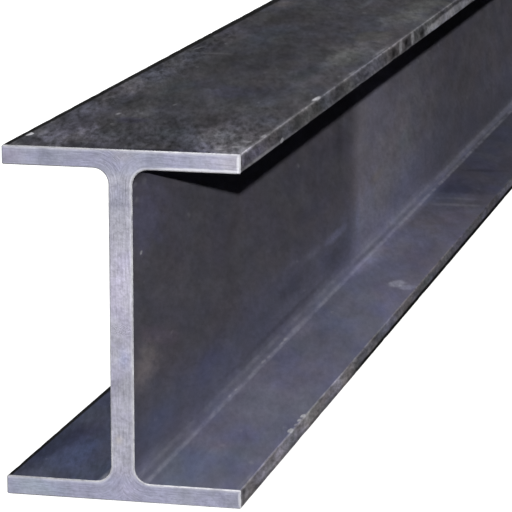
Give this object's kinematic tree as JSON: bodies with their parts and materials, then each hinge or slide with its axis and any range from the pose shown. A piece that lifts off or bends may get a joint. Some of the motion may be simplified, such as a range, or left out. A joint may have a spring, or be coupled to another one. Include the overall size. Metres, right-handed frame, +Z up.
{
  "type": "steel h-beam",
  "caption": "Hot-rolled steel H-section beam with parallel flanges, rounded roots and square sawn ends, lying on one flange as a length of stock.",
  "frame": {"origin": "middle of the underside of the lower flange, halfway along the beam", "axes": "+X across the flanges, +Y along the beam away from the sawn end that the picture shows, +Z up from the lower flange to the upper one"},
  "size_m": [0.2, 6, 0.294],
  "materials": {
    "rolled_steel": "dark mill scale, with lighter bare steel on the sawn ends"
  },
  "bodies": {
    "root": {"h_beam": "rolled_steel"}
  },
  "joints": []
}
